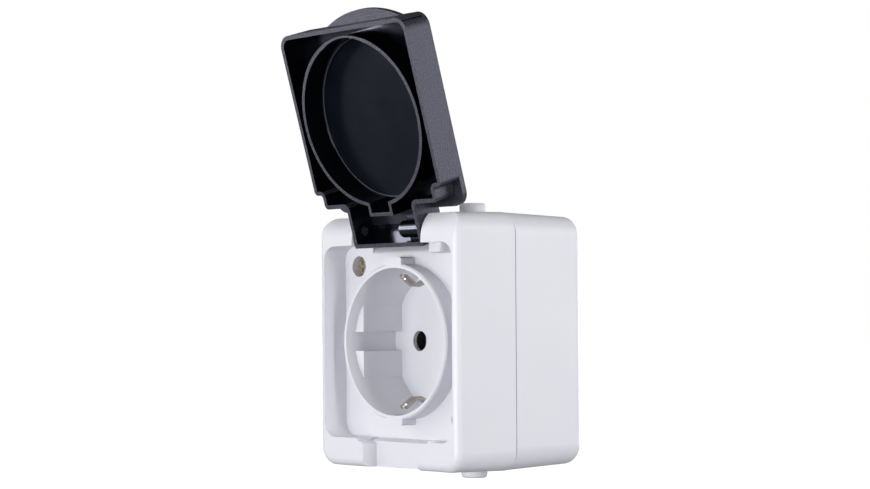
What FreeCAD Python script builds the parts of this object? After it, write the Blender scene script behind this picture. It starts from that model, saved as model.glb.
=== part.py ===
import FreeCAD, Part
import math
import operator
import os

import Sketcher
from FreeCAD import Placement, Rotation, Vector

# Weatherproof surface-mounted socket with a hinged lid, shown open.
# X runs to the right, Z up, and the wall face lies in the plane Y = 0.
# Depths are distances forward from the wall face, so a depth d lies at Y = -d.
# The lid is modelled closed, about its hinge axis, and its placement opens it.

SIZES = {
    # housing
    "box_depth": 26.0,
    "cover_depth": 20.0,
    "seam_width": 56.2,
    "seam_height": 67.4,
    "corner_radius": 5.4,
    "box_draft": 1.6,
    "cover_draft": 1.3,
    "wall": 2.4,
    "rear_wall": 2.5,
    "rear_edge_round": 2.9,
    "front_edge_round": 2.0,
    "crown_radius": 8.8,
    "crown_rise": 1.1,
    "seam_gap": 0.4,
    "seam_step": 0.4,
    "gasket_depth": 1.5,
    "gasket_inset": 1.3,
    # recess that takes the lid
    "rim_width": 2.6,
    "rim_height": 8.0,
    "recess_corner": 4.0,
    "recess_depth": 7.6,
    "plate_wall": 2.2,
    "scoop_left": 9.2,
    "scoop_right": 11.2,
    "scoop_flare": 7.0,
    "scoop_corner": 0.8,
    "scoop_depth": 4.4,
    "scoop_slope": 0.8,
    "scoop_slope_reach": 2.4,
    "lip_gap": 0.4,
    # cup for the plug
    "cup_radius": 19.5,
    "cup_depth": 17.8,
    "cup_floor": 2.0,
    "collar_wall": 1.15,
    "collar_inset": 2.6,
    "collar_round": 0.4,
    "guide_flat": 16.8,
    "guide_reach": 9.7,
    "guide_slot": 5.2,
    "guide_start": 3.1,
    "guide_fall": 0.85,
    "pin_spacing": 19.0,
    "pin_hole_radius": 2.75,
    "pin_hole_wall": 1.3,
    "pin_room_radius": 4.2,
    "channel_width": 6.3,
    "channel_reach": 22.3,
    "channel_reach_low": 21.95,
    "channel_side_wall": 1.5,
    "channel_wall": 0.8,
    "channel_front_wall": 1.2,
    "channel_corner": 0.4,
    # hinge
    "axis_inset": 3.5,
    "axis_rise": 3.9,
    "trough_radius": 7.0,
    "trough_wall": 2.5,
    "ear_width": 14.6,
    "tongue_gap": 0.3,
    "tongue_reach": 3.9,
    "pin_radius": 1.2,
    "pin_play": 0.05,
    "ear_bore_depth": 6.7,
    "pin_end_play": 0.2,
    "barrel_radius": 2.3,
    "barrel_length": 8.5,
    "barrel_rib": 1.6,
    "barrel_foot": 2.5,
    "right_pin_inset": 1.0,
    "open_angle": 163.6,
    "cheek_width": 4.4,
    "cheek_height": 2.6,
    "cheek_round": 0.5,
    "cheek_corner": 1.4,
    "trough_lip_round": 1.1,
    "cheek_inset": 2.9,
    # lid
    "lid_gap_side": 0.3,
    "lid_gap_far": 0.4,
    "lid_gap_near": 0.65,
    "lid_depth": 8.2,
    "lid_plate_gap": 0.56,
    "lid_wall": 1.1,
    "lid_skin": 1.5,
    "lid_corner": 3.7,
    "shoulder_drop": 7.25,
    "shoulder_inset": 3.0,
    "step_drop": 11.2,
    "ring_radius": 22.75,
    "ring_wall": 0.95,
    "bulge_width": 9.2,
    "bulge_reach": 25.0,
    "ring_shift": 0.2,
    "ring_foot": 0.35,
    "ejector_radius": 1.1,
    "ejector_depth": 0.15,
    "ejector_x": 6.0,
    "ring_relief_gap": 0.5,
    "ring_relief_radius": 17.0,
    "step_round": 1.3,
    "step_fillet": 0.9,
    "lip_offset": 1.75,
    "lip_rise": 3.15,
    "lip_width": 29.0,
    "lip_wall": 1.4,
    # cable entries
    "entry_depth": 14.5,
    "nub_radius": 3.6,
    "nub_height": 3.9,
    "nub_round": 0.5,
    "nub_seat_gap": 0.15,
    "neck_radius": 2.9,
    "flange_radius": 5.2,
    "flange_wall": 1.2,
    # cover screws
    "cover_screw_side": 8.4,
    "cover_screw_end": 13.4,
    "screw_seat_radius": 2.8,
    "screw_seat_depth": 2.6,
    "cover_screw_head_radius": 2.55,
    "cover_screw_head_height": 1.35,
    "cover_screw_radius": 1.45,
    "cover_screw_clearance": 0.25,
    "cover_screw_length": 18.0,
    "boss_radius": 3.8,
    "cross_width": 0.9,
    "cross_length": 3.2,
    "cross_depth": 0.8,
    "wall_hole_radius": 2.25,
    "wall_hole_x": 13.0,
    "wall_hole_z": 25.0,
    # inner base and its metal parts
    "base_radius": 20.0,
    "base_gap": 2.4,
    "base_post_height": 3.1,
    "base_screw_place": 12.5,
    "base_screw_radius": 1.4,
    "base_screw_head_radius": 2.8,
    "base_screw_head_height": 1.8,
    "base_screw_tip_gap": 0.3,
    "base_screw_gap": 0.3,
    "base_post_radius": 3.6,
    "pocket_wall": 0.9,
    "pocket_half_height": 3.9,
    "pocket_inner": 5.6,
    "pocket_outer": 19.3,
    "contact_gap": 0.3,
    "contact_plate": 1.2,
    "contact_half_height": 3.2,
    "sleeve_radius": 3.2,
    "sleeve_bore_radius": 2.42,
    "sleeve_slot": 0.8,
    "sleeve_setback": 3.0,
    "sleeve_slot_depth": 9.0,
    "terminal_width": 5.4,
    "terminal_height": 5.2,
    "wire_radius": 1.3,
    "wire_slot_half": 1.6,
    "spring_wall": 0.5,
    "spring_width": 2.4,
    "spring_back": 3.0,
    "terminal_screw_radius": 1.6,
    "terminal_head_radius": 2.4,
    "terminal_head_height": 1.8,
    "terminal_screw_length": 3.6,
    "screw_slot": 0.7,
    "screw_slot_depth": 0.8,
    "clamp_half_width": 3.0,
    "clamp_half_height": 3.4,
    "clamp_wall": 4.5,
    "earth_screw_z": 11.0,
    "rivet_radius": 1.25,
    "rivet_head_radius": 2.1,
    "rivet_head_height": 0.8,
    "rivet_length": 6.0,
    # earth bow, one bent strip
    "bow_width": 5.2,
    "bow_wall": 0.8,
    "bow_foot": 30.0,
    "clip_width": 2.6,
    "bow_corner": 0.8,
    "clip_back_bend": 3.0,
    "clip_apex_bend": 1.8,
    "bow_limb": 20.0,
    "clip_bend_inset": 18.6,
    "clip_back_inset": 15.2,
    "clip_back_height": 16.3,
    "clip_apex_inset": 10.3,
    "clip_apex_height": 14.1,
    "clip_front_inset": 5.9,
    "clip_front_height": 17.1,
    "clip_fork": 0.9,
    "clip_fork_depth": 0.9,
}

# How far a cutting tool runs past the face it opens, and how far a fused piece sinks in.
CLEAR = 3.0
ROOTED = 0.4

OPERATORS = {"+": operator.add, "-": operator.sub, "*": operator.mul, "/": operator.truediv}


class Size:
    """A length known both as a number and as a formula over the sheet's cells."""

    def __init__(self, number, formula):
        self.number = number
        self.formula = formula

    def __add__(self, other):
        return combine(self, "+", other)

    def __radd__(self, other):
        return combine(other, "+", self)

    def __sub__(self, other):
        return combine(self, "-", other)

    def __rsub__(self, other):
        return combine(other, "-", self)

    def __mul__(self, other):
        return combine(self, "*", other)

    def __rmul__(self, other):
        return combine(other, "*", self)

    def __truediv__(self, other):
        return combine(self, "/", other)

    def __neg__(self):
        return combine(0.0, "-", self)


def as_size(value):
    return value if isinstance(value, Size) else Size(float(value), repr(float(value)))


def combine(left, sign, right):
    left, right = as_size(left), as_size(right)
    number = OPERATORS[sign](left.number, right.number)
    return Size(number, f"({left.formula} {sign} {right.formula})")


def slope(angle):
    return Size(math.tan(math.radians(angle.number)), f"tan({angle.formula})")


def root(value):
    return Size(math.sqrt(value.number), f"sqrt({value.formula})")


doc = FreeCAD.newDocument("weatherproof_socket")
sheet = doc.addObject("Spreadsheet::Sheet", "dims")
for row, (alias, number) in enumerate(SIZES.items(), 1):
    sheet.set(f"A{row}", alias)
    sheet.set(f"B{row}", str(number))
    sheet.setAlias(f"B{row}", alias)
doc.recompute()


class Dims:
    """The sheet's cells as sizes, by alias."""

    def __init__(self, table):
        for name, number in table.items():
            setattr(self, name, Size(number, f"dims.{name}"))


d = Dims(SIZES)


def bind(thing, path, size):
    thing.setExpression(path, as_size(size).formula)


# Primitive solids, placed by x, depth from the wall and z


def place(thing, x, depth, z, turn=Rotation()):
    thing.Placement = Placement(Vector(0, 0, 0), turn)
    bind(thing, "Placement.Base.x", x)
    bind(thing, "Placement.Base.y", -as_size(depth))
    bind(thing, "Placement.Base.z", z)
    return thing


def block(name, x, depth, z):
    """A box between two values of x, of depth and of z."""
    solid = doc.addObject("Part::Box", name)
    bind(solid, "Length", as_size(x[1]) - x[0])
    bind(solid, "Width", as_size(depth[1]) - depth[0])
    bind(solid, "Height", as_size(z[1]) - z[0])
    return place(solid, x[0], depth[1], z[0])


TURNS = {
    "x": Rotation(Vector(0, 1, 0), 90),
    "depth": Rotation(Vector(1, 0, 0), 90),
    "z": Rotation(),
}


def start_point(axis, start, centre):
    if axis == "x":
        return start, centre[0], centre[1]
    if axis == "depth":
        return centre[0], start, centre[1]
    return centre[0], centre[1], start


def rod(name, axis, radius, ends, centre):
    """A cylinder along x, depth or z; centre holds its other two places in that order."""
    solid = doc.addObject("Part::Cylinder", name)
    bind(solid, "Radius", radius)
    bind(solid, "Height", as_size(ends[1]) - ends[0])
    return place(solid, *start_point(axis, ends[0], centre), TURNS[axis])


def joined(name, solids):
    fuse = doc.addObject("Part::MultiFuse", name)
    fuse.Shapes = solids
    fuse.Refine = True
    return fuse


def cut(name, base, tools):
    result = doc.addObject("Part::Cut", name)
    result.Base = base
    result.Tool = tools[0] if len(tools) == 1 else joined(name + "_tools", tools)
    result.Refine = True
    return result


def common(name, first, second):
    result = doc.addObject("Part::Common", name)
    result.Base = first
    result.Tool = second
    return result


def mirrored(name, source, normal):
    twin = doc.addObject("Part::Mirroring", name)
    twin.Source = source
    twin.Base = Vector(0, 0, 0)
    twin.Normal = normal
    return twin


SIDEWAYS = Vector(1, 0, 0)
UPWARDS = Vector(0, 0, 1)


def eased(kind, name, base, size, chosen):
    """Rounds or chamfers the edges of a solid that the test accepts."""
    doc.recompute()
    feature = doc.addObject(kind, name)
    feature.Base = base
    edges = enumerate(base.Shape.Edges, 1)
    feature.Edges = [(index, size.number, size.number) for index, edge in edges if chosen(edge)]
    return feature


def edge_round(name, base, radius, chosen):
    return eased("Part::Fillet", name, base, radius, chosen)


def edge_bevel(name, base, size, chosen):
    return eased("Part::Chamfer", name, base, size, chosen)


# Bodies with sketches


def new_body(name):
    return doc.addObject("PartDesign::Body", name)


def sketch_on(owner, name, role, offset):
    """A sketch parallel to an origin plane of its own body, moved along its normal."""
    plane = next(item for item in owner.Origin.OriginFeatures if item.Role == role)
    sketch = owner.newObject("Sketcher::SketchObject", name)
    sketch.AttachmentSupport = [(plane, "")]
    sketch.MapMode = "FlatFace"
    bind(sketch, "AttachmentOffset.Base.z", offset)
    return sketch


def constrain(sketch, size, *constraint):
    index = sketch.addConstraint(Sketcher.Constraint(*constraint, as_size(size).number))
    sketch.setExpression(f"Constraints[{index}]", as_size(size).formula)


ORIGIN = (-1, 1)


def pin_x(sketch, geometry, end, x):
    constrain(sketch, x, "DistanceX", *ORIGIN, geometry, end)


def pin_y(sketch, geometry, end, y):
    constrain(sketch, y, "DistanceY", *ORIGIN, geometry, end)


def outline(sketch, corners):
    """A closed outline of straight lines through the corners."""
    first = len(sketch.Geometry)
    points = [Vector(as_size(x).number, as_size(y).number, 0) for x, y in corners]
    for here, there in zip(points, points[1:] + points[:1]):
        sketch.addGeometry(Part.LineSegment(here, there), False)
    count = len(corners)
    for index in range(count):
        after = first + (index + 1) % count
        sketch.addConstraint(Sketcher.Constraint("Coincident", first + index, 2, after, 1))
    for index, (x, y) in enumerate(corners):
        pin_x(sketch, first + index, 1, x)
        pin_y(sketch, first + index, 1, y)


def rounded_rectangle(sketch, x, y, radius):
    """A rectangle with round corners, between two values of x and of y."""
    left, right = as_size(x[0]), as_size(x[1])
    low, high = as_size(y[0]), as_size(y[1])
    r = radius.number
    l, b, e, t = left.number, low.number, right.number, high.number
    sides = [((l + r, b), (e - r, b)), ((e, b + r), (e, t - r)),
             ((e - r, t), (l + r, t)), ((l, t - r), (l, b + r))]
    centres = [(e - r, b + r), (e - r, t - r), (l + r, t - r), (l + r, b + r)]
    first = len(sketch.Geometry)
    for quarter, (side, centre) in enumerate(zip(sides, centres)):
        sketch.addGeometry(Part.LineSegment(Vector(*side[0], 0), Vector(*side[1], 0)), False)
        circle = Part.Circle(Vector(*centre, 0), Vector(0, 0, 1), r)
        begin = (quarter - 1) * math.pi / 2
        sketch.addGeometry(Part.ArcOfCircle(circle, begin, begin + math.pi / 2), False)
    lines = [first + 2 * index for index in range(4)]
    arcs = [line + 1 for line in lines]
    for index in range(4):
        sketch.addConstraint(Sketcher.Constraint("Tangent", lines[index], 2, arcs[index], 1))
        sketch.addConstraint(Sketcher.Constraint("Tangent", arcs[index], 2, lines[(index + 1) % 4], 1))
        direction = "Horizontal" if index % 2 == 0 else "Vertical"
        sketch.addConstraint(Sketcher.Constraint(direction, lines[index]))
    for arc in arcs[1:]:
        sketch.addConstraint(Sketcher.Constraint("Equal", arcs[0], arc))
    constrain(sketch, radius, "Radius", arcs[0])
    pin_y(sketch, lines[0], 1, low)
    pin_x(sketch, lines[1], 1, right)
    pin_y(sketch, lines[2], 1, high)
    pin_x(sketch, lines[3], 1, left)


def pad(owner, name, sketch, length, taper=None):
    feature = owner.newObject("PartDesign::Pad", name)
    feature.Profile = sketch
    bind(feature, "Length", length)
    if taper is not None:
        bind(feature, "TaperAngle", taper)
    return feature


def pocket(owner, name, sketch, length, taper=None):
    feature = owner.newObject("PartDesign::Pocket", name)
    feature.Profile = sketch
    bind(feature, "Length", length)
    if taper is not None:
        bind(feature, "TaperAngle", taper)
    return feature


def body_round(owner, name, base, radius, chosen):
    doc.recompute()
    feature = owner.newObject("PartDesign::Fillet", name)
    names = [f"Edge{index}" for index, edge in enumerate(base.Shape.Edges, 1) if chosen(edge)]
    feature.Base = (base, names)
    bind(feature, "Radius", radius)
    return feature


def at_depth(edge, depth):
    """True where the whole edge lies at one depth."""
    box = edge.BoundBox
    return abs(box.YMin + depth) < 1e-4 and abs(box.YMax + depth) < 1e-4


def slab(name, x, z, radius, depth, taper=None):
    """A rounded rectangle padded forward from one depth to another."""
    owner = new_body(name)
    sketch = sketch_on(owner, name + "_outline", "XZ_Plane", depth[0])
    rounded_rectangle(sketch, x, z, radius)
    pad(owner, name + "_pad", sketch, as_size(depth[1]) - depth[0], taper)
    return owner


def prism(name, role, corners, ends):
    """An outline padded along the normal of an origin plane."""
    owner = new_body(name)
    sketch = sketch_on(owner, name + "_outline", role, ends[0])
    outline(sketch, corners)
    pad(owner, name + "_pad", sketch, as_size(ends[1]) - ends[0])
    return owner


# Places worked out from the driving sizes

front = d.box_depth + d.cover_depth
seam = d.box_depth
half_width = d.seam_width / 2
half_height = d.seam_height / 2
recess_half = half_width - d.rim_width
recess_top = half_height - d.rim_height
axis_height = recess_top + d.axis_rise
crown_foot = recess_top + d.crown_rise
cover_screw_x = half_width - d.cover_screw_side
cover_screw_z = half_height - d.cover_screw_end
inner_half_width = half_width - d.wall
inner_half_height = half_height - d.wall
inner_corner = d.corner_radius - d.wall
plate = front - d.recess_depth
plate_back = plate - d.plate_wall
collar_rim = front - d.collar_inset
cup_bottom = collar_rim - d.cup_depth
cup_back = cup_bottom - d.cup_floor
axis_depth = front - d.axis_inset
hinge_back = axis_depth - d.trough_radius - d.trough_wall
hinge_foot = axis_height - d.trough_radius - 1.1
tongue_half = half_width - d.ear_width
trough_half = tongue_half + d.tongue_gap
pin_x_place = d.pin_spacing / 2
collar_radius = d.cup_radius + d.collar_wall
base_front = cup_back - d.base_gap
base_back = d.rear_wall + d.base_post_height
pocket_floor = base_back + d.pocket_wall
base_screw_tip = d.rear_wall + d.base_screw_tip_gap

# The lid's own places, measured from the hinge axis while it is closed
lid_rim = -(d.recess_depth - d.lid_plate_gap - d.axis_inset)
lid_front = lid_rim + d.lid_depth
lid_inside = lid_front - d.lid_skin
lid_half = recess_half - d.lid_gap_side
shoulder_half = lid_half - d.shoulder_inset
lid_far = -(axis_height + recess_top - d.lid_gap_far)
lid_near = recess_top - d.lid_gap_near - axis_height
lip_radius = (d.lip_width * d.lip_width / 4 + d.lip_rise * d.lip_rise) / (2 * d.lip_rise)
lip_centre = lid_far - d.lip_rise + lip_radius


def box_surface(depth):
    """Half height of the drafted box at a depth."""
    return half_height - (d.box_depth - depth) * slope(d.box_draft)


def make_back_box():
    shell = new_body("box_shell")
    rear_half_width = half_width - d.box_depth * slope(d.box_draft)
    rear_half_height = half_height - d.box_depth * slope(d.box_draft)
    rear = sketch_on(shell, "box_rear", "XZ_Plane", 0)
    x = (-rear_half_width, rear_half_width)
    rounded_rectangle(rear, x, (-rear_half_height, rear_half_height), d.corner_radius)
    outer = pad(shell, "box_outer", rear, d.box_depth - d.seam_gap, d.box_draft)
    body_round(shell, "box_rear_round", outer, d.rear_edge_round, lambda edge: at_depth(edge, 0.0))
    step = sketch_on(shell, "box_step", "XZ_Plane", d.box_depth - d.seam_gap)
    step_x = half_width - d.seam_step
    step_z = half_height - d.seam_step
    rounded_rectangle(step, (-step_x, step_x), (-step_z, step_z), d.corner_radius - d.seam_step)
    pad(shell, "box_step_pad", step, d.seam_gap)
    mouth = sketch_on(shell, "box_mouth", "XZ_Plane", d.box_depth)
    x = (-inner_half_width, inner_half_width)
    rounded_rectangle(mouth, x, (-inner_half_height, inner_half_height), inner_corner)
    pocket(shell, "box_cavity", mouth, d.box_depth - d.rear_wall, -d.box_draft)
    rebate = sketch_on(shell, "box_rebate", "XZ_Plane", d.box_depth)
    rebate_x = half_width - d.gasket_inset
    rebate_z = half_height - d.gasket_inset
    rounded_rectangle(rebate, (-rebate_x, rebate_x), (-rebate_z, rebate_z), d.corner_radius - d.gasket_inset)
    pocket(shell, "box_rebate_cut", rebate, d.gasket_depth)

    floor = d.rear_wall - ROOTED
    screw_tip = front - d.recess_depth - d.screw_seat_depth - d.cover_screw_length
    posts = []
    holes = []
    for name, side in (("upper", -1), ("lower", 1)):
        cover_place = (side * cover_screw_x, -side * cover_screw_z)
        posts.append(rod(f"cover_post_{name}", "depth", d.boss_radius, (floor, seam), cover_place))
        bore = (screw_tip, seam + CLEAR)
        holes.append(rod(f"cover_post_bore_{name}", "depth", d.cover_screw_radius, bore, cover_place))
        base_place = (-side * d.base_screw_place, -side * d.base_screw_place)
        posts.append(rod(f"base_post_{name}", "depth", d.base_post_radius, (floor, base_back), base_place))
        bore = (base_screw_tip, base_back + CLEAR)
        holes.append(rod(f"base_post_bore_{name}", "depth", d.base_screw_radius, bore, base_place))
        wall_place = (-side * d.wall_hole_x, -side * d.wall_hole_z)
        bore = (-CLEAR, d.rear_wall + CLEAR)
        holes.append(rod(f"wall_hole_{name}", "depth", d.wall_hole_radius, bore, wall_place))
        top = box_surface(d.entry_depth)
        low, high = (top - d.wall - CLEAR, top + CLEAR)
        ends = (-high, -low) if side > 0 else (low, high)
        holes.append(rod(f"entry_hole_{name}", "z", d.neck_radius, ends, (0, d.entry_depth)))
    return cut("back_box", joined("box_with_posts", [shell] + posts), holes)


def make_cover_gasket():
    ring = new_body("cover_gasket")
    sketch = sketch_on(ring, "gasket_outline", "XZ_Plane", d.box_depth - d.gasket_depth)
    for inset in (d.gasket_inset, d.wall):
        x, z = half_width - inset, half_height - inset
        rounded_rectangle(sketch, (-x, x), (-z, z), d.corner_radius - inset)
    pad(ring, "gasket_pad", sketch, d.gasket_depth)
    return ring


def make_cable_entry(name, side):
    """A rubber entry seal: round nub outside, neck in the wall, flange inside."""
    surface = box_surface(d.entry_depth + d.nub_radius)
    nub_foot = surface + d.nub_seat_gap
    nub_top = box_surface(d.entry_depth) + d.nub_height
    inside = box_surface(d.entry_depth - d.flange_radius) - d.wall - d.nub_seat_gap
    centre = (0, d.entry_depth)

    def ends(low, high):
        return (low, high) if side > 0 else (-high, -low)

    nub = rod(name + "_nub", "z", d.nub_radius, ends(nub_foot, nub_top), centre)
    tip = nub_top.number * side
    rounded = edge_bevel(name + "_nub_bevel", nub, d.nub_round,
                         lambda edge: abs(edge.BoundBox.ZMin - tip) < 1e-4 and edge.BoundBox.ZLength < 1e-4)
    neck = rod(name + "_neck", "z", d.neck_radius, ends(inside - ROOTED, nub_foot + ROOTED), centre)
    flange = rod(name + "_flange", "z", d.flange_radius, ends(inside - d.flange_wall, inside), centre)
    return joined(name, [rounded, neck, flange])


def make_cover_shell():
    """Drafted front moulding with its rounded front edge, before anything is cut."""
    shell = new_body("cover_shell")
    sketch = sketch_on(shell, "cover_seam", "XZ_Plane", seam)
    rounded_rectangle(sketch, (-half_width, half_width), (-half_height, half_height), d.corner_radius)
    outer = pad(shell, "cover_outer", sketch, d.cover_depth, -d.cover_draft)
    body_round(shell, "cover_front_round", outer, d.front_edge_round,
               lambda edge: at_depth(edge, front.number))
    return shell


def crown_tool():
    """What is taken off the top front edge so that the ears are rounded back."""
    wide = half_width + CLEAR
    back = front - d.crown_radius
    corner = block("crown_corner", (-wide, wide), (back, front + CLEAR), (crown_foot, half_height + CLEAR))
    arc = rod("crown_arc", "x", d.crown_radius, (-wide, wide), (back, crown_foot))
    return cut("crown_tool", corner, [arc])


def guide_pads():
    """The four flat-faced pads in the cup, two each side, with a slot between."""
    far = d.cup_radius + ROOTED
    begin = collar_rim - d.guide_start
    corners = [
        (-far, -(cup_bottom - ROOTED)),
        (-d.guide_flat, -(cup_bottom - ROOTED)),
        (-d.guide_flat, -(begin - d.guide_fall)),
        (-d.cup_radius, -begin),
        (-far, -begin),
    ]
    upper = prism("guide_pad", "XY_Plane", corners, (d.guide_slot / 2, d.guide_reach))
    lower = mirrored("guide_pad_low", upper, UPWARDS)
    left = joined("guide_pads_left", [upper, lower])
    right = mirrored("guide_pads_right", left, SIDEWAYS)
    inside = rod("guide_limit", "depth", d.cup_radius + d.collar_wall / 2, (cup_back, front), (0, 0))
    return common("guide_pads", joined("guide_pads_both", [left, right]), inside)


def make_front_cover():
    scoop_floor = front - d.scoop_depth
    wide = inner_half_width
    rear_cavity = slab("rear_cavity", (-wide, wide), (-inner_half_height, inner_half_height), inner_corner,
                       (seam - CLEAR, hinge_back))
    plate_cavity = slab("plate_cavity", (-wide + ROOTED, wide - ROOTED),
                        (-inner_half_height + ROOTED, hinge_foot), inner_corner,
                        (hinge_back - CLEAR, plate_back))
    recess = slab("lid_recess", (-recess_half, recess_half), (-recess_top, recess_top), d.recess_corner,
                  (plate, front + CLEAR))
    lip_disc = rod("lip_seat_disc", "depth", lip_radius + d.lip_gap, (scoop_floor, front + CLEAR),
                   (d.lip_offset, lip_centre + axis_height))
    lip_band = block("lip_seat_band",
                     (d.lip_offset - d.lip_width / 2 - CLEAR, d.lip_offset + d.lip_width / 2 + CLEAR),
                     (scoop_floor, front + CLEAR), (-half_height, -recess_top + CLEAR))
    lip_seat = common("lip_seat", lip_disc, lip_band)
    scoop = slab("finger_scoop", (-d.scoop_left, d.scoop_right), (-half_height - CLEAR, -recess_top + CLEAR),
                 d.scoop_corner, (scoop_floor, front + CLEAR), d.scoop_flare)
    trough = rod("hinge_trough", "x", d.trough_radius, (-trough_half, trough_half),
                 (axis_depth, axis_height))
    slope_foot = -recess_top - d.scoop_slope
    scoop_ramp = prism("scoop_ramp", "YZ_Plane", [
        (-plate, -recess_top),
        (-plate, -recess_top + ROOTED),
        (-front, -recess_top + ROOTED),
        (-front, slope_foot),
        (-scoop_floor, slope_foot),
    ], (-d.scoop_left - d.scoop_slope_reach, d.scoop_right))
    opened = cut("cover_opened", make_cover_shell(),
                 [rear_cavity, plate_cavity, recess, lip_seat, scoop, scoop_ramp, trough, crown_tool()])

    trough_lip_z = (axis_height - root(d.trough_radius * d.trough_radius
                                         - (axis_depth - plate) * (axis_depth - plate))).number

    def trough_lip(edge):
        box = edge.BoundBox
        return at_depth(edge, plate.number) and box.ZLength < 1e-4 and abs(box.ZMin - trough_lip_z) < 1e-3

    opened = edge_round("trough_lip_rounded", opened, d.trough_lip_round, trough_lip)
    cup = rod("cup_outside", "depth", collar_radius, (cup_back, collar_rim), (0, 0))
    rim = collar_rim.number
    cup_rounded = edge_bevel("collar_outer_bevel", cup, d.collar_round,
                             lambda edge: at_depth(edge, rim))
    channel_x = (-d.channel_width / 2, d.channel_width / 2)
    channel_depth = (cup_back, collar_rim)
    channels = []
    for name, z, far in (("top", (d.cup_radius, d.channel_reach), d.channel_reach),
                         ("low", (-d.channel_reach_low, -d.cup_radius), d.channel_reach_low)):
        mass = block(f"channel_{name}_mass", channel_x, channel_depth, z)
        corners = [(channel_x[1], far if name == "top" else -far)]
        channels.append(edge_bevel(f"channel_{name}", mass, d.channel_corner,
                                   lambda edge, corners=corners: along_depth(edge, corners)))
    cheek_front = front - d.cheek_inset
    cheek_mass = block("ear_cheek_mass", (trough_half, trough_half + d.cheek_width),
                       (plate - ROOTED, cheek_front), (recess_top - d.cheek_height, recess_top + ROOTED))
    cheek_rim = cheek_front.number
    hidden = recess_top.number
    cheek_side = (trough_half + d.cheek_width).number
    cheek_turned = edge_round("ear_cheek_corner", cheek_mass, d.cheek_corner,
                              lambda edge: (at_depth(edge, cheek_rim)
                                            and edge.BoundBox.XMin > cheek_side - 1e-4))
    cheek = edge_round("ear_cheek", cheek_turned, d.cheek_round,
                       lambda edge: at_depth(edge, cheek_rim) and edge.BoundBox.XLength > 1e-4
                       and edge.BoundBox.ZMin < hidden - 1e-4)
    bosses = []
    holes = []
    seat = plate - d.screw_seat_depth
    for name, side in (("upper", -1), ("lower", 1)):
        centre = (side * cover_screw_x, -side * cover_screw_z)
        bosses.append(rod(f"cover_boss_{name}", "depth", d.boss_radius, (seam, plate - ROOTED), centre))
        clearance = d.cover_screw_radius + d.cover_screw_clearance
        holes.append(rod(f"cover_hole_{name}", "depth", clearance, (seam - CLEAR, seat + CLEAR), centre))
        holes.append(rod(f"cover_seat_{name}", "depth", d.screw_seat_radius, (seat, plate + CLEAR), centre))
    carried = joined("cover_with_cup", [opened, cup_rounded, cheek] + channels + bosses)

    bore = rod("cup_bore", "depth", d.cup_radius, (cup_bottom, front), (0, 0))
    hollow = cut("cover_hollow", carried, [bore])
    padded = joined("cover_padded", [hollow, guide_pads()])

    for name, side in (("left", -1), ("right", 1)):
        centre = (side * pin_x_place, 0)
        holes.append(rod(f"pin_hole_{name}", "depth", d.pin_hole_radius,
                         (cup_back - CLEAR, cup_bottom + CLEAR), centre))
        holes.append(rod(f"pin_room_{name}", "depth", d.pin_room_radius,
                         (cup_back - CLEAR, cup_bottom - d.pin_hole_wall), centre))
        far = trough_half + d.ear_bore_depth
        ends = (trough_half - ROOTED, far) if side > 0 else (-far, -trough_half + ROOTED)
        holes.append(rod(f"ear_bore_{name}", "x", d.pin_radius, ends, (axis_depth, axis_height)))
    slot_half = d.channel_width / 2 - d.channel_side_wall
    slot_top = block("channel_slot_top", (-slot_half, slot_half),
                     (cup_back - CLEAR, collar_rim - d.channel_front_wall),
                     (d.cup_radius - 1.0, d.channel_reach - d.channel_wall))
    slot_low = block("channel_slot_low", (-slot_half, slot_half),
                     (cup_back - CLEAR, collar_rim - d.channel_front_wall),
                     (-d.channel_reach_low + d.channel_wall, -d.cup_radius + 1.0))
    return cut("front_cover", padded, holes + [slot_top, slot_low])


def lid_outline(inset):
    """Plan of the lid's rim wall: square body, stepped shoulders and the hinge tongue."""
    side = lid_half - inset
    shoulder = shoulder_half - inset
    tongue = tongue_half - inset
    far = lid_far + inset
    step = -d.step_drop - inset
    drop = -d.shoulder_drop - inset
    near = d.tongue_reach - inset
    right = [(side, far), (side, step), (shoulder, step), (shoulder, drop), (tongue, drop), (tongue, near)]
    left = [(-x, z) for x, z in reversed(right)]
    return right + left


def along_depth(edge, places):
    """True for an edge parallel to the depth at one of the places, given by half width and z."""
    box = edge.BoundBox
    if box.ZLength > 1e-4 or box.XLength > 1e-4:
        return False
    return any(abs(abs(box.XMin) - x.number) < 1e-4 and abs(box.ZMin - z.number) < 1e-4 for x, z in places)


def lid_block(name, inset, depth, corner, convex, concave):
    """The rim plan padded between two depths, its far corners and the corners of its steps rounded."""
    owner = new_body(name)
    sketch = sketch_on(owner, name + "_outline", "XZ_Plane", depth[0])
    plan = lid_outline(as_size(inset))
    outline(sketch, plan)
    solid = pad(owner, name + "_pad", sketch, as_size(depth[1]) - depth[0])
    solid = body_round(owner, name + "_corners", solid, corner, lambda edge: along_depth(edge, plan[:1]))
    if convex is not None:
        points = [plan[1], plan[3]]
        solid = body_round(owner, name + "_convex", solid, convex, lambda edge: along_depth(edge, points))
    hollows = [plan[2], plan[4]]
    body_round(owner, name + "_concave", solid, concave, lambda edge: along_depth(edge, hollows))
    return owner


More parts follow.
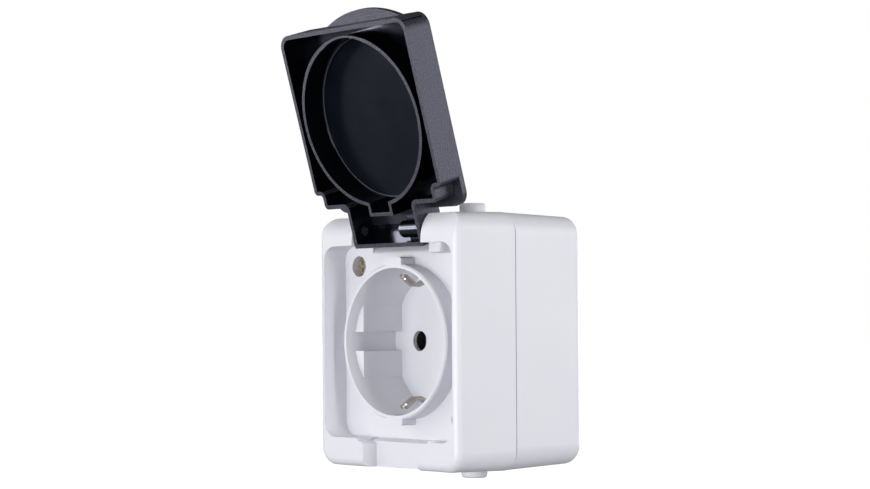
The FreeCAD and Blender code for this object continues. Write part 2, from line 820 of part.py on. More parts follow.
def make_lid():
    walls = lid_block("lid_walls", 0.0, (lid_rim, lid_front), d.lid_corner, d.step_round, d.step_fillet)
    skin = slab("lid_skin_plate", (-lid_half, lid_half), (lid_far, lid_near), d.lid_corner,
                (lid_inside, lid_front))
    hollow = lid_block("lid_hollow", d.lid_wall, (lid_rim - CLEAR, lid_inside), d.lid_corner - d.lid_wall,
                       None, d.step_fillet + d.lid_wall)
    lip_disc = rod("lip_disc", "depth", lip_radius, (lid_front - d.lip_wall, lid_front),
                   (d.lip_offset, lip_centre))
    lip_band = block("lip_band",
                     (d.lip_offset - d.lip_width / 2 - CLEAR, d.lip_offset + d.lip_width / 2 + CLEAR),
                     (lid_front - d.lip_wall, lid_front), (lid_far - d.lip_rise - CLEAR, lid_far + ROOTED))
    thumb_lip = common("thumb_lip", lip_disc, lip_band)
    tray = cut("lid_tray", joined("lid_mass", [walls, skin, thumb_lip]), [hollow])

    ring_top = lid_inside + ROOTED
    ring_centre = (0, -axis_height - d.ring_shift)
    bulge_half = d.bulge_width / 2
    bulge_foot = ring_centre[1] + root(d.ring_radius * d.ring_radius - bulge_half * bulge_half) - 1.0
    bulge_top = d.bulge_reach - axis_height
    ring_solid = rod("seal_ring_outside", "depth", d.ring_radius, (lid_rim, ring_top), ring_centre)
    bulge = block("seal_bulge", (-bulge_half, bulge_half), (lid_rim, ring_top), (bulge_foot, bulge_top))
    ring_inside = rod("seal_ring_inside", "depth", d.ring_radius - d.ring_wall,
                      (lid_rim - CLEAR, ring_top + CLEAR), ring_centre)
    pocket_half = bulge_half - d.ring_wall
    bulge_inside = block("seal_bulge_inside", (-pocket_half, pocket_half),
                         (lid_rim - CLEAR, ring_top + CLEAR), (-axis_height, bulge_top - d.ring_wall))
    relief_foot = -axis_height - d.channel_reach_low - d.ring_relief_gap
    relief = rod("seal_relief", "depth", d.ring_relief_radius,
                 (lid_rim - CLEAR, collar_rim - axis_depth + d.ring_relief_gap),
                 (0, relief_foot + d.ring_relief_radius))
    ring = cut("seal_ring", joined("seal_ring_mass", [ring_solid, bulge]),
               [ring_inside, bulge_inside, relief])
    ring_inner = d.ring_radius - d.ring_wall
    foot_ring = rod("seal_foot_mass", "depth", ring_inner + ROOTED,
                    (lid_inside - d.ring_foot, ring_top), ring_centre)
    foot_bore = doc.addObject("Part::Cone", "seal_foot_bore")
    bind(foot_bore, "Radius1", ring_inner)
    bind(foot_bore, "Radius2", ring_inner - d.ring_foot)
    bind(foot_bore, "Height", d.ring_foot)
    place(foot_bore, 0, lid_inside - d.ring_foot, ring_centre[1], TURNS["depth"])
    foot = cut("seal_foot", foot_ring, [foot_bore, bulge_inside])

    barrel_end = tongue_half - d.lid_wall + ROOTED
    barrel_start = tongue_half - d.lid_wall - d.barrel_length
    barrel = rod("barrel", "x", d.barrel_radius, (barrel_start, barrel_end), (0, 0))
    rib = block("barrel_rib", (barrel_start, barrel_end), (0, lid_inside + ROOTED),
                (-d.barrel_rib / 2, d.barrel_rib / 2))
    heel_half = d.barrel_rib / 2 + d.barrel_foot
    heel_depth = lid_inside - d.barrel_foot
    heel_mass = block("barrel_heel_mass", (barrel_start - d.barrel_foot, barrel_end),
                      (heel_depth, lid_inside + ROOTED), (-heel_half, heel_half))
    heel_curves = [rod("barrel_heel_end", "z", d.barrel_foot, (-heel_half - CLEAR, heel_half + CLEAR),
                       (barrel_start - d.barrel_foot, heel_depth))]
    for name, z in (("upper", heel_half), ("lower", -heel_half)):
        heel_curves.append(rod(f"barrel_heel_{name}", "x", d.barrel_foot,
                               (barrel_start - d.barrel_foot - CLEAR, barrel_end + CLEAR), (heel_depth, z)))
    heel = cut("barrel_heel", heel_mass, heel_curves)
    ejector = rod("ejector_mark", "depth", d.ejector_radius,
                  (lid_inside - CLEAR, lid_inside + d.ejector_depth), (-d.ejector_x, 0))
    bore_radius = d.pin_radius + d.pin_play
    right_bore = rod("barrel_bore", "x", bore_radius, (barrel_start - CLEAR, tongue_half + CLEAR), (0, 0))
    left_bore = rod("left_bore", "x", bore_radius, (-tongue_half - CLEAR, -tongue_half + d.lid_wall + ROOTED),
                    (0, 0))
    carried = joined("lid_carried", [tray, ring, foot, barrel, rib, heel])
    lid = cut("lid", carried, [right_bore, left_bore, ejector])
    place(lid, 0, axis_depth, axis_height, Rotation(Vector(-1, 0, 0), d.open_angle.number))
    bind(lid, "Placement.Rotation.Angle", d.open_angle)
    return lid


def make_hinge_pin(name, side):
    outer = trough_half + d.ear_bore_depth - d.pin_end_play
    inner = tongue_half - d.lid_wall
    if side > 0:
        inner = inner - d.barrel_length + d.right_pin_inset
    ends = (inner, outer) if side > 0 else (-outer, -inner)
    return rod(name, "x", d.pin_radius, ends, (axis_depth, axis_height))


def slotted_screw(name, centre, head_radius, head, shank_radius, tip):
    """Pan-headed screw along depth with one straight slot; head is its two depths."""
    top = rod(name + "_head", "depth", head_radius, head, centre)
    shank = rod(name + "_shank", "depth", shank_radius, (tip, head[0] + ROOTED), centre)
    half = d.screw_slot / 2
    x, z = as_size(centre[0]), as_size(centre[1])
    slot = block(name + "_slot", (x - head_radius - CLEAR, x + head_radius + CLEAR),
                 (head[1] - d.screw_slot_depth, head[1] + CLEAR), (z - half, z + half))
    return cut(name, joined(name + "_turned", [top, shank]), [slot])


def make_cover_screw(name, side):
    """Pan-headed screw with a cross recess, sunk in the plate."""
    x, z = side * cover_screw_x, -side * cover_screw_z
    seat = plate - d.screw_seat_depth
    top = seat + d.cover_screw_head_height
    head = rod(name + "_head", "depth", d.cover_screw_head_radius, (seat, top), (x, z))
    rim = top.number
    domed = edge_bevel(name + "_dome", head, d.cover_screw_head_height * 0.45,
                       lambda edge: at_depth(edge, rim))
    shank = rod(name + "_shank", "depth", d.cover_screw_radius, (seat - d.cover_screw_length, seat + ROOTED),
                (x, z))
    long_half, thin_half = d.cross_length / 2, d.cross_width / 2
    depth = (top - d.cross_depth, top + CLEAR)
    upright = block(name + "_cross_a", (x - thin_half, x + thin_half), depth, (z - long_half, z + long_half))
    level = block(name + "_cross_b", (x - long_half, x + long_half), depth, (z - thin_half, z + thin_half))
    return cut(name, joined(name + "_turned", [domed, shank]), [upright, level])


def make_socket_base():
    disc = rod("base_disc", "depth", d.base_radius, (base_back, base_front), (0, 0))
    cuts = []
    z = (-d.pocket_half_height, d.pocket_half_height)
    depth = (pocket_floor, base_front + CLEAR)
    terminal_x = terminal_centre()
    for name, side in (("left", -1), ("right", 1)):
        x = (d.pocket_inner, d.pocket_outer) if side > 0 else (-d.pocket_outer, -d.pocket_inner)
        cuts.append(block(f"contact_pocket_{name}", x, depth, z))
        slot = (side * terminal_x - d.wire_slot_half, side * terminal_x + d.wire_slot_half)
        wire_depth = (pocket_floor + d.contact_gap, base_front + CLEAR)
        cuts.append(block(f"wire_slot_{name}", slot, wire_depth, (-d.base_radius, d.base_radius)))
        place_xz = (-side * d.base_screw_place, -side * d.base_screw_place)
        clearance = d.base_screw_radius + d.base_screw_gap
        cuts.append(rod(f"base_hole_{name}", "depth", clearance, (base_back - CLEAR, base_front + CLEAR),
                        place_xz))
    half_x = d.clamp_half_width + d.contact_gap
    half_z = d.clamp_half_height + d.contact_gap
    cuts.append(block("clamp_pocket", (-half_x, half_x), (base_front - d.clamp_wall - d.contact_gap,
                base_front + CLEAR), (-d.earth_screw_z - half_z, -d.earth_screw_z + half_z)))
    tip = base_front - d.terminal_screw_length - d.clamp_wall
    cuts.append(rod("clamp_screw_room", "depth", d.terminal_screw_radius + d.contact_gap,
                    (tip - d.contact_gap, base_front), (0, -d.earth_screw_z)))
    cuts.append(rod("rivet_hole", "depth", d.rivet_radius, (base_front - d.rivet_length, base_front + CLEAR),
                    (0, 0)))
    return cut("socket_base", disc, cuts)


def terminal_centre():
    return d.pocket_outer - d.contact_gap - d.terminal_width / 2


def make_contact(name, side):
    """Brass sleeve for a plug pin and terminal block on one plate."""
    back = pocket_floor
    plate_top = back + d.contact_plate
    inner, outer = d.pocket_inner + d.contact_gap, d.pocket_outer - d.contact_gap
    half = d.contact_half_height
    tip = cup_back - d.sleeve_setback
    sleeve_x = side * pin_x_place
    ends = (inner, outer) if side > 0 else (-outer, -inner)
    bar = block(name + "_plate", ends, (back, plate_top), (-half, half))
    sleeve = rod(name + "_sleeve", "depth", d.sleeve_radius, (back, tip), (sleeve_x, 0))
    block_x = (outer - d.terminal_width, outer) if side > 0 else (-outer, -outer + d.terminal_width)
    terminal_top = plate_top + d.terminal_height
    terminal = block(name + "_terminal", block_x, (back, terminal_top), (-half, half))
    bore = rod(name + "_bore", "depth", d.sleeve_bore_radius, (back - CLEAR, tip + CLEAR), (sleeve_x, 0))
    slot_half = d.sleeve_slot / 2
    slot_depth = (tip - d.sleeve_slot_depth, tip + CLEAR)
    reach = d.sleeve_radius + CLEAR
    upright = block(name + "_slot", (sleeve_x - slot_half, sleeve_x + slot_half), slot_depth, (-reach, reach))
    screw_x = side * terminal_centre()
    screw_bore = rod(name + "_screw_bore", "depth", d.terminal_screw_radius,
                     (terminal_top - d.terminal_screw_length, terminal_top + CLEAR), (screw_x, 0))
    wire = rod(name + "_wire_hole", "z", d.wire_radius, (-half - CLEAR, half + CLEAR),
               (screw_x, plate_top + d.wire_radius))
    return cut(name, joined(name + "_mass", [bar, sleeve, terminal]), [bore, upright, screw_bore, wire])


def make_contact_spring(name, side):
    """Steel ring round the slotted sleeve, open on its outer side."""
    tip = cup_back - d.sleeve_setback
    depth = (tip - d.spring_back - d.spring_width, tip - d.spring_back)
    x = side * pin_x_place
    outside = rod(name + "_outside", "depth", d.sleeve_radius + d.spring_wall, depth, (x, 0))
    inside = rod(name + "_inside", "depth", d.sleeve_radius, (depth[0] - CLEAR, depth[1] + CLEAR), (x, 0))
    reach = d.sleeve_radius + d.spring_wall + CLEAR
    gap = block(name + "_gap", (x, x + reach) if side > 0 else (x - reach, x),
                (depth[0] - CLEAR, depth[1] + CLEAR), (-d.sleeve_slot, d.sleeve_slot))
    return cut(name, outside, [inside, gap])


def make_terminal_screw(name, side):
    seat = pocket_floor + d.contact_plate + d.terminal_height
    centre = (side * terminal_centre(), 0)
    head = (seat, seat + d.terminal_head_height)
    return slotted_screw(name, centre, d.terminal_head_radius, head, d.terminal_screw_radius,
                         seat - d.terminal_screw_length)


def bend_at(points):
    """Accepts the edges across the strip at the given heights and depths, above and below."""
    def chosen(edge):
        box = edge.BoundBox
        if box.YLength > 1e-4 or box.ZLength > 1e-4:
            return False
        return any(abs(abs(box.ZMin) - z.number) < 1e-4 and abs(box.YMin + depth.number) < 1e-4
                   for z, depth in points)
    return chosen


def make_earth_bow():
    """One strip: across the base, forward beside the cup, bent inwards to a clip at each end."""
    wall = d.bow_wall
    limb = d.bow_limb
    half = d.clip_width / 2
    back = base_front
    inner = [
        (limb, back + wall),
        (limb, front - d.clip_bend_inset),
        (d.clip_back_height, front - d.clip_back_inset),
        (d.clip_apex_height, front - d.clip_apex_inset),
        (d.clip_front_height, front - d.clip_front_inset),
    ]
    # Each corner of the other face lies one wall away from both of its straights.
    outer = [
        (d.clip_front_height + 0.83 * wall, front - d.clip_front_inset - 0.56 * wall),
        (d.clip_apex_height + 1.14 * wall, front - d.clip_apex_inset - 0.1 * wall),
        (d.clip_back_height + 0.82 * wall, front - d.clip_back_inset + 0.62 * wall),
        (limb + wall, front - d.clip_bend_inset + 0.46 * wall),
        (limb + wall, back),
    ]
    upper = [(-depth, z) for z, depth in inner + outer]
    lower = [(-depth, -z) for z, depth in reversed(inner + outer)]
    strip = prism("bow_strip", "YZ_Plane", upper + lower, (-half, half))
    bends = [
        ("bow_corner_inner", [inner[0], inner[1]], d.bow_corner),
        ("bow_corner_outer", [outer[3], outer[4]], d.bow_corner + wall),
        ("bow_back_bends", [inner[2], outer[2]], d.clip_back_bend),
        ("bow_apex_inner", [inner[3]], d.clip_apex_bend + wall),
        ("bow_apex_outer", [outer[1]], d.clip_apex_bend),
    ]
    for name, points, radius in bends:
        body_round(strip, name, strip.Tip or strip.Group[-1], radius, bend_at(points))
    foot = block("bow_foot", (-d.bow_width / 2, d.bow_width / 2), (back, back + wall),
                 (-d.bow_foot / 2, d.bow_foot / 2))
    fork_half = d.clip_fork / 2
    fork_depth = (front - d.clip_front_inset - d.clip_fork_depth, front)
    fork_top = block("fork_top", (-fork_half, fork_half), fork_depth, (d.clip_apex_height, d.cup_radius))
    fork_low = mirrored("fork_low", fork_top, UPWARDS)
    holes = [
        rod("bow_rivet_hole", "depth", d.rivet_radius, (back - CLEAR, back + CLEAR), (0, 0)),
        rod("bow_screw_hole", "depth", d.terminal_screw_radius, (back - CLEAR, back + CLEAR),
            (0, -d.earth_screw_z)),
    ]
    return cut("earth_bow", joined("bow_with_foot", [strip, foot]), [fork_top, fork_low] + holes)


def make_earth_clamp():
    half_x, half_z = d.clamp_half_width, d.clamp_half_height
    z = -d.earth_screw_z
    nut = block("earth_clamp_block", (-half_x, half_x), (base_front - d.clamp_wall, base_front),
                (z - half_z, z + half_z))
    bore = rod("earth_clamp_bore", "depth", d.terminal_screw_radius, (base_front - d.clamp_wall - CLEAR,
               base_front + CLEAR), (0, z))
    return cut("earth_clamp", nut, [bore])


def make_rivet():
    top = base_front + d.bow_wall
    head = rod("rivet_head", "depth", d.rivet_head_radius, (top, top + d.rivet_head_height), (0, 0))
    shank = rod("rivet_shank", "depth", d.rivet_radius, (base_front - d.rivet_length, top + ROOTED), (0, 0))
    return joined("earth_bow_rivet", [head, shank])


def make_earth_screw():
    seat = base_front + d.bow_wall
    head = (seat, cup_back - d.contact_gap)
    tip = base_front - d.terminal_screw_length - d.clamp_wall
    return slotted_screw("earth_terminal_screw", (0, -d.earth_screw_z), d.terminal_head_radius, head,
                         d.terminal_screw_radius, tip)


def make_base_screw(name, side):
    centre = (side * d.base_screw_place, side * d.base_screw_place)
    head = (base_front, base_front + d.base_screw_head_height)
    return slotted_screw(name, centre, d.base_screw_head_radius, head, d.base_screw_radius, base_screw_tip)


SUB_PARTS = [
    make_back_box(),
    make_front_cover(),
    make_lid(),
    make_hinge_pin("hinge_pin_left", -1),
    make_hinge_pin("hinge_pin_right", 1),
    make_cover_gasket(),
    make_cable_entry("cable_entry_top", 1),
    make_cable_entry("cable_entry_bottom", -1),
    make_cover_screw("cover_screw_upper", -1),
    make_cover_screw("cover_screw_lower", 1),
    make_socket_base(),
    make_contact("line_contact", -1),
    make_contact("neutral_contact", 1),
    make_contact_spring("line_contact_spring", -1),
    make_contact_spring("neutral_contact_spring", 1),
    make_terminal_screw("line_terminal_screw", -1),
    make_terminal_screw("neutral_terminal_screw", 1),
    make_earth_bow(),
    make_earth_clamp(),
    make_rivet(),
    make_earth_screw(),
    make_base_screw("base_screw_upper", 1),
    make_base_screw("base_screw_lower", -1),
]


def check(objects, solids):
    for thing in objects:
        if "Invalid" in thing.State or "Error" in thing.State:
            raise RuntimeError(f"{thing.Name} failed: {thing.State}")
    for thing in solids:
        shape = thing.Shape
        if shape.isNull() or not shape.isValid() or not shape.Solids:
            raise RuntimeError(f"{thing.Label} has no valid solid")


doc.recompute()
check(doc.Objects, SUB_PARTS)
os.makedirs("parts", exist_ok=True)
for thing in SUB_PARTS:
    thing.Shape.exportStep(f"parts/{thing.Label}.step")
    print(thing.Label, len(thing.Shape.Solids), "solid", round(thing.Shape.Volume, 1), "mm3")
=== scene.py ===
import math

import bpy
from mathutils import Matrix, Vector

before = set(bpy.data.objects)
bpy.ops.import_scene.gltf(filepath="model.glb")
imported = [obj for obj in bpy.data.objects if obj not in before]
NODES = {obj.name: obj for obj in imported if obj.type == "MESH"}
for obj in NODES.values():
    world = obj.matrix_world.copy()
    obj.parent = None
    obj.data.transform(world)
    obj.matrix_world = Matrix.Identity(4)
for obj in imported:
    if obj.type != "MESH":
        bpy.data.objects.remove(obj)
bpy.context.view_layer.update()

MM = 0.001

# Sizes of the socket, in millimetres, as its construction has them
HINGE_Y, HINGE_Z = -42.5, 29.6
OPEN_ANGLE = math.radians(163.6)
# The lid's hollow: half width, then nearest and farthest distance from the hinge
LID_BODY = (24.3, 12.1, 53.95)
LID_SHOULDERS = (21.3, 8.2, 12.4)
LID_TONGUE = (12.6, -3.0, 8.4)
# Heights on the closed lid, from the hinge's axis toward the wall
OUTER_FACE, LID_FLOOR, DISC_TOP, LID_RIM = -4.4, -3.4, -3.0, 3.5
# The seal ring: distance of its centre from the hinge, inner radius, and width of the painted highlight
# on its rounded foot
RING_CENTRE, RING_INSIDE, RING_FOOT = 29.8, 21.7, 0.3
# The barrel's radius about the hinge, and the distances between which its heel lies
BARREL_REACH = 2.45
HEEL_NEAR, HEEL_FAR = 0.8, 3.6

# Roughness and sheen of the lid's surfaces
GRAIN_ROUGHNESS, WALL_ROUGHNESS, DISC_ROUGHNESS = 0.4, 0.16, 0.42
BARREL_ROUGHER, HEEL_ROUGHER = 0.1, 0.3
WALL_SHEEN, DISC_SHEEN, OUTER_FACE_LESS_SHEEN = 0.5, 0.05, 0.24

bpy.ops.object.select_all(action="DESELECT")


# Materials


def linear(code):
    """sRGB hex to linear colour."""
    parts = [int(code[i:i + 2], 16) / 255 for i in (0, 2, 4)]
    return [p / 12.92 if p <= 0.04045 else ((p + 0.055) / 1.055) ** 2.4 for p in parts] + [1.0]


def add(tree, kind, links=(), **settings):
    """Adds a node; settings are properties or input values, links are (input, output socket) pairs."""
    made = tree.nodes.new(kind)
    for name, value in settings.items():
        if name.replace("_", " ") in made.inputs:
            made.inputs[name.replace("_", " ")].default_value = value
        else:
            setattr(made, name, value)
    for name, source in links:
        tree.links.new(source, made.inputs[name])
    return made


def new_material(name, **shader):
    """A material with its Principled shader set; gives the material, its tree and the shader."""
    material = bpy.data.materials.new(name)
    material.use_nodes = True
    tree = material.node_tree
    tree.nodes.clear()
    principled = add(tree, "ShaderNodeBsdfPrincipled", **shader)
    add(tree, "ShaderNodeOutputMaterial", [("Surface", principled.outputs[0])])
    return material, tree, principled


def object_mm(tree):
    """The surface's own place in millimetres."""
    place = add(tree, "ShaderNodeTexCoord")
    scaled = add(tree, "ShaderNodeVectorMath", [(0, place.outputs["Object"])], operation="SCALE",
                 Scale=1 / MM)
    return scaled.outputs[0]


def calc(tree, operation, *values):
    """A maths node; each value is a number or an output socket."""
    made = add(tree, "ShaderNodeMath", operation=operation)
    for index, value in enumerate(values):
        if isinstance(value, (int, float)):
            made.inputs[index].default_value = value
        else:
            tree.links.new(value, made.inputs[index])
    return made.outputs[0]


def blend(tree, factor, low, high):
    """A number that goes from low to high with the factor."""
    span = add(tree, "ShaderNodeMapRange", [("Value", factor)], To_Min=low, To_Max=high)
    return span.outputs[0]


def within(tree, value, low, high):
    """One between low and high, nought outside."""
    above = calc(tree, "GREATER_THAN", value, low)
    below = calc(tree, "LESS_THAN", value, high)
    return calc(tree, "MULTIPLY", above, below)


def length(tree, first, second):
    """How far a point lies from the origin, from its two distances."""
    return calc(tree, "SQRT", calc(tree, "ADD", calc(tree, "MULTIPLY", first, first),
                                   calc(tree, "MULTIPLY", second, second)))


def noise(tree, place, size, detail):
    """Random clouds of the given size in millimetres."""
    made = add(tree, "ShaderNodeTexNoise", [("Vector", place)], Scale=1 / size, Detail=detail)
    return made.outputs[0]


def pair(tree, factor, low, high):
    """Goes between two shades with a factor."""
    return mixed(tree, factor, "RGBA", A=linear(low), B=linear(high))


def mixed(tree, factor, kind, links=(), **values):
    """Goes from A to B with a factor; kind is RGBA for colours and FLOAT for numbers."""
    made = add(tree, "ShaderNodeMix", [("Factor", factor), *links], data_type=kind, **values)
    return made.outputs["Result"]


def mottled(tree, place, low, high, size):
    """A slow drift between two close shades, size in millimetres."""
    return pair(tree, noise(tree, place, size, 2.0), low, high)


def relief(tree, height, depth, strength):
    """Bumps that follow the given height, with their depth in millimetres."""
    made = add(tree, "ShaderNodeBump", [("Height", height)], Strength=strength, Distance=depth * MM)
    return made.outputs[0]


def grain_bump(tree, place, size, depth, strength):
    """Fine relief with grains of the given size and depth in millimetres."""
    return relief(tree, noise(tree, place, size, 1.0), depth, strength)


def white_moulding(name, low, high, roughness):
    """Injection-moulded white thermoplastic: even, faintly bluish, with a soft satin sheen."""
    material, tree, shader = new_material(name, Roughness=roughness, IOR=1.5)
    place = object_mm(tree)
    tree.links.new(mottled(tree, place, low, high, size=18.0), shader.inputs["Base Color"])
    # Spark-eroded mould texture is about 0.1 mm; drawn at 0.35 mm so that it shows.
    grain = grain_bump(tree, place, size=0.35, depth=0.004, strength=0.5)
    tree.links.new(grain, shader.inputs["Normal"])
    return material


def lid_places(tree, place):
    """Distances from the middle and from the hinge, and the height, of a point on the open lid."""
    parts = add(tree, "ShaderNodeSeparateXYZ", [(0, place)])
    across = calc(tree, "ABSOLUTE", parts.outputs[0])
    y = calc(tree, "SUBTRACT", parts.outputs[1], HINGE_Y)
    z = calc(tree, "SUBTRACT", parts.outputs[2], HINGE_Z)
    cosine, sine = math.cos(OPEN_ANGLE), math.sin(OPEN_ANGLE)
    # Turned back by the opening angle, the lid's inner side faces +Y and its far end lies at -Z.
    back = calc(tree, "SUBTRACT", calc(tree, "MULTIPLY", y, cosine), calc(tree, "MULTIPLY", z, sine))
    rise = calc(tree, "ADD", calc(tree, "MULTIPLY", y, sine), calc(tree, "MULTIPLY", z, cosine))
    return across, calc(tree, "MULTIPLY", rise, -1.0), back


def lid_hollow(tree, across, along, back):
    """One on the lid's inner side, within its walls, and nought elsewhere."""
    plan = None
    for half, near, far in (LID_BODY, LID_SHOULDERS, LID_TONGUE):
        patch = calc(tree, "MULTIPLY", calc(tree, "LESS_THAN", across, half),
                     within(tree, along, near, far))
        plan = patch if plan is None else calc(tree, "MAXIMUM", plan, patch)
    return calc(tree, "MULTIPLY", plan, within(tree, back, LID_FLOOR, LID_RIM))


def black_lid_moulding():
    """Black thermoplastic: eroded grain on the outside and the rims, polished within the walls."""
    material, tree, shader = new_material("Black ABS, grained outside, polished inside", IOR=1.5,
                                          Specular_Tint=linear("DCE0FF"))
    place = object_mm(tree)
    across, along, back = lid_places(tree, place)
    inside = lid_hollow(tree, across, along, back)
    from_centre = length(tree, across, calc(tree, "SUBTRACT", along, RING_CENTRE))
    disc = calc(tree, "MULTIPLY", calc(tree, "LESS_THAN", from_centre, RING_INSIDE),
                within(tree, back, LID_FLOOR, DISC_TOP))

    # Outside, pale specks at the tips of the eroded grain are a painted glint, where the tips catch
    # the light. The grain is about 0.3 mm, drawn at 0.4 mm so that it shows.
    grain = noise(tree, place, size=0.4, detail=1.5)
    outside = pair(tree, calc(tree, "POWER", grain, 3.0), "131316", "64646E")
    # Faint clouds on the disc; a thin line along the ring's rounded foot is a painted highlight.
    foot = calc(tree, "MULTIPLY", disc, calc(tree, "GREATER_THAN", from_centre, RING_INSIDE - RING_FOOT))
    clouds = pair(tree, noise(tree, place, size=7.0, detail=3.0), "05070C", "131720")
    face = mixed(tree, foot, "RGBA", [("A", clouds)], B=linear("4A4D55"))
    smooth = mixed(tree, disc, "RGBA", [("B", face)], A=linear("050609"))
    shade = mixed(tree, inside, "RGBA", [("A", outside), ("B", smooth)])
    tree.links.new(shade, shader.inputs["Base Color"])

    # The barrel and the heel above it are less polished than the walls.
    barrel = calc(tree, "LESS_THAN", length(tree, along, back), BARREL_REACH)
    heel = calc(tree, "SUBTRACT", within(tree, along, HEEL_NEAR, HEEL_FAR), barrel)
    dull = calc(tree, "MAXIMUM", calc(tree, "MULTIPLY", barrel, BARREL_ROUGHER),
                calc(tree, "MULTIPLY", heel, HEEL_ROUGHER))
    polish = calc(tree, "ADD", blend(tree, disc, WALL_ROUGHNESS, DISC_ROUGHNESS), dull)
    rough = mixed(tree, inside, "FLOAT", [("B", polish)], A=GRAIN_ROUGHNESS)
    tree.links.new(rough, shader.inputs["Roughness"])

    # The disc is matt, so it hardly mirrors the walls about it. The broad outer face is duller than
    # the lid's sides.
    dulled = calc(tree, "MULTIPLY", calc(tree, "LESS_THAN", back, OUTER_FACE), OUTER_FACE_LESS_SHEEN)
    sheen = calc(tree, "SUBTRACT", blend(tree, disc, WALL_SHEEN, DISC_SHEEN), dulled)
    tree.links.new(sheen, shader.inputs["Specular IOR Level"])

    # The polished inside has a long, shallow wave in place of the grain.
    wave = calc(tree, "MULTIPLY", noise(tree, place, size=9.0, detail=0.0), 0.2)
    height = mixed(tree, inside, "FLOAT", [("A", grain), ("B", wave)])
    tree.links.new(relief(tree, height, depth=0.09, strength=1.0), shader.inputs["Normal"])
    return material


def metal(name, low, high, roughness):
    """Bare or plated metal with slight shade changes from stamping and handling."""
    material, tree, shader = new_material(name, Metallic=1.0, Roughness=roughness)
    place = object_mm(tree)
    tree.links.new(mottled(tree, place, low, high, size=3.0), shader.inputs["Base Color"])
    grain = grain_bump(tree, place, size=0.25, depth=0.004, strength=0.4)
    tree.links.new(grain, shader.inputs["Normal"])
    return material


def rubber(name, low, high):
    """Soft moulded elastomer: dull, with a fine velvety surface."""
    material, tree, shader = new_material(name, Roughness=0.7, IOR=1.52)
    place = object_mm(tree)
    tree.links.new(mottled(tree, place, low, high, size=6.0), shader.inputs["Base Color"])
    grain = grain_bump(tree, place, size=0.3, depth=0.006, strength=0.5)
    tree.links.new(grain, shader.inputs["Normal"])
    return material


HOUSING = white_moulding("White ABS, satin moulded", "E0E0E7", "E5E5EB", 0.38)
BASE = white_moulding("Light grey thermoset, matt moulded", "C9C9C6", "D2D2CE", 0.6)
LID = black_lid_moulding()
PASSIVATED = metal("Brass screw, dull passivated", "A89D8C", "C2B7A5", 0.38)
ZINC = metal("Steel screw, zinc plated", "B4B5B8", "C6C7C9", 0.3)
NICKEL = metal("Brass strip, nickel plated", "BBB2A4", "DAD3C6", 0.3)
BRASS = metal("Stamped brass", "C9A55C", "D8B772", 0.3)
SPRING = metal("Spring steel, oiled", "6C6C70", "86868A", 0.35)
PIN = metal("Drawn steel pin", "A2A3A8", "B6B7BB", 0.25)
SEAL = rubber("White TPE, soft moulded", "DCDCE2", "E2E2E8")
GASKET = rubber("Grey EPDM, extruded", "55565A", "5F6064")

FINISHES = {
    HOUSING: ["back_box", "front_cover"],
    LID: ["lid"],
    PIN: ["hinge_pin_left", "hinge_pin_right"],
    GASKET: ["cover_gasket"],
    SEAL: ["cable_entry_top", "cable_entry_bottom"],
    PASSIVATED: ["cover_screw_upper", "cover_screw_lower"],
    BASE: ["socket_base"],
    BRASS: ["line_contact", "neutral_contact", "earth_clamp", "earth_bow_rivet"],
    SPRING: ["line_contact_spring", "neutral_contact_spring"],
    ZINC: ["line_terminal_screw", "neutral_terminal_screw", "earth_terminal_screw", "base_screw_upper",
           "base_screw_lower"],
    NICKEL: ["earth_bow"],
}
for material, names in FINISHES.items():
    for name in names:
        piece = NODES[name]
        if not piece.material_slots:
            piece.data.materials.append(material)
        for slot in piece.material_slots:
            slot.material = material


# Stage, light and camera

FLOOR_WIDTH, FLOOR_DROP = 12.0, 0.11
bpy.ops.mesh.primitive_plane_add(size=FLOOR_WIDTH, location=(0, 0, -FLOOR_DROP))
floor = bpy.context.object
floor.name = "floor"
bpy.ops.object.transform_apply(location=True, rotation=True, scale=True)

# The floor is white to the camera and a middle grey to the light that it bounces back.
paper, tree, shader = new_material("Matt paper sweep", Roughness=1.0, Base_Color=linear("A8A8AE"))
path = add(tree, "ShaderNodeLightPath")
glow = add(tree, "ShaderNodeEmission", Color=(1, 1, 1, 1), Strength=1.0)
both = add(tree, "ShaderNodeAddShader", [(0, shader.outputs[0]), (1, glow.outputs[0])])
seen = add(tree, "ShaderNodeMixShader", [("Fac", path.outputs["Is Camera Ray"]), (1, shader.outputs[0]),
                                         (2, both.outputs[0])])
tree.links.new(seen.outputs[0], tree.nodes["Material Output"].inputs["Surface"])
floor.data.materials.append(paper)

world = bpy.data.worlds.new("studio")
bpy.context.scene.world = world
world.use_nodes = True
tree = world.node_tree
tree.nodes.clear()
path = add(tree, "ShaderNodeLightPath")
soft = add(tree, "ShaderNodeBackground", Color=(0.95, 0.96, 1.0, 1), Strength=0.055)
white = add(tree, "ShaderNodeBackground", Color=(1, 1, 1, 1), Strength=1.0)
pick = add(tree, "ShaderNodeMixShader", [("Fac", path.outputs["Is Camera Ray"]), (1, soft.outputs[0]),
                                         (2, white.outputs[0])])
add(tree, "ShaderNodeOutputWorld", [("Surface", pick.outputs[0])])

MIDDLE = Vector((0, -0.03, 0.03))


def softbox(name, place, size, power):
    """A rectangular lamp that faces the middle of the socket."""
    lamp = bpy.data.lights.new(name, "AREA")
    lamp.shape = "RECTANGLE"
    lamp.size, lamp.size_y = size
    lamp.energy = power
    box = bpy.data.objects.new(name, lamp)
    bpy.context.scene.collection.objects.link(box)
    box.location = place
    box.rotation_euler = (MIDDLE - Vector(place)).to_track_quat("-Z", "Y").to_euler()
    return box


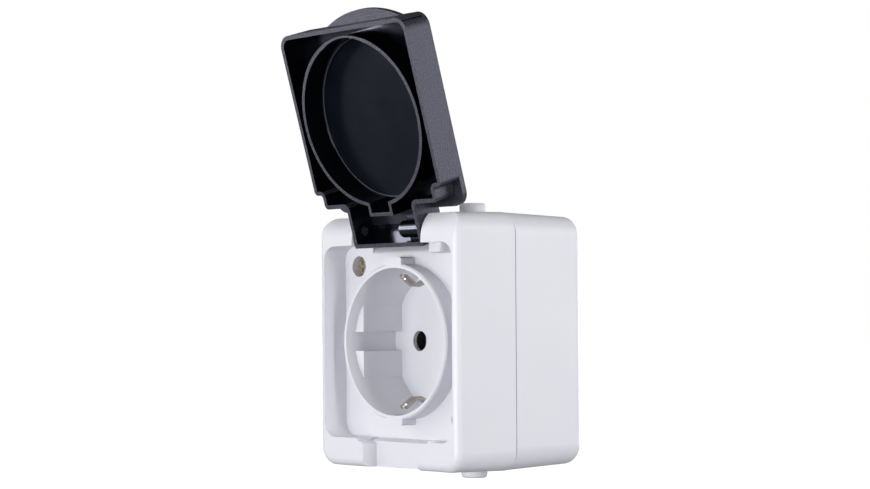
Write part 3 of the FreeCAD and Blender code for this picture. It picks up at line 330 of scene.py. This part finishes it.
# Name, place, size and power of each lamp
LAMPS = (
    ("softbox_front", (0.1, -0.95, -0.02), (0.8, 0.15), 5.7),
    ("softbox_front_left", (-0.7, -0.8, 0.25), (0.6, 0.8), 2.9),
    ("softbox_side", (0.94, -0.15, 0.12), (0.16, 0.8), 4.6),
    ("softbox_back_right", (0.7, 0.7, 0.2), (0.5, 0.8), 4.4),
    ("softbox_back", (-0.2, 0.95, 0.02), (0.8, 0.6), 6.5),
    ("softbox_back_left", (-0.85, 0.45, 0.0), (0.5, 0.6), 3.0),
    ("softbox_top", (0.0, -0.35, 0.95), (0.8, 0.8), 2.5),
)
# Only the lid and the metals take these. The narrow ones at the front left draw the bright lines on
# the polished black and the metal, the faint one at the front right fills the lid's disc, and the
# broad one at the back right gives the lid's grained side its sheen.
GLINT_LAMPS = (
    ("strip_high", (-0.72, -0.66, 0.27), (0.16, 0.16), 2.4),
    ("strip_low", (-0.72, -0.72, 0.02), (0.2, 0.1), 2.6),
    ("fill_right", (0.62, -0.72, -0.05), (0.4, 0.4), 0.8),
    ("strip_right", (0.72, 0.72, 0.1), (0.5, 0.7), 2.3),
)
for lamp in LAMPS:
    softbox(*lamp)
glints = bpy.data.collections.new("takes_glints")
for name in ("lid", "earth_bow", "cover_screw_upper", "cover_screw_lower"):
    glints.objects.link(NODES[name])
for lamp in GLINT_LAMPS:
    softbox(*lamp).light_linking.receiver_collection = glints

CAMERA_AZIMUTH = math.radians(49.095)
CAMERA_ROLL = math.radians(-0.390)
CAMERA_PLACE = Vector((0.4192, -0.4091, 0.0068))
FOCAL_PIXELS = 2114.2
FRAME_WIDTH, FRAME_HEIGHT = 870, 489
AIM_X, AIM_Y = 386.08, 316.06      # pixels, where the camera's axis meets the image
SENSOR_WIDTH = 36.0

camera_data = bpy.data.cameras.new("camera")
camera = bpy.data.objects.new("camera", camera_data)
bpy.context.scene.collection.objects.link(camera)
bpy.context.scene.camera = camera
camera_data.sensor_width = SENSOR_WIDTH
camera_data.lens = SENSOR_WIDTH * FOCAL_PIXELS / FRAME_WIDTH
camera_data.shift_x = (FRAME_WIDTH / 2 - AIM_X) / FRAME_WIDTH
camera_data.shift_y = (AIM_Y - FRAME_HEIGHT / 2) / FRAME_WIDTH
camera_data.clip_start = 0.01
forward = Vector((-math.sin(CAMERA_AZIMUTH), math.cos(CAMERA_AZIMUTH), 0))
level = Vector((math.cos(CAMERA_AZIMUTH), math.sin(CAMERA_AZIMUTH), 0))
up = Vector((0, 0, 1))
right = math.cos(CAMERA_ROLL) * level + math.sin(CAMERA_ROLL) * up
above = -math.sin(CAMERA_ROLL) * level + math.cos(CAMERA_ROLL) * up
turn = Matrix((right, above, -forward)).transposed()
camera.matrix_world = Matrix.Translation(CAMERA_PLACE) @ turn.to_4x4()

bpy.context.scene.view_settings.view_transform = "Standard"
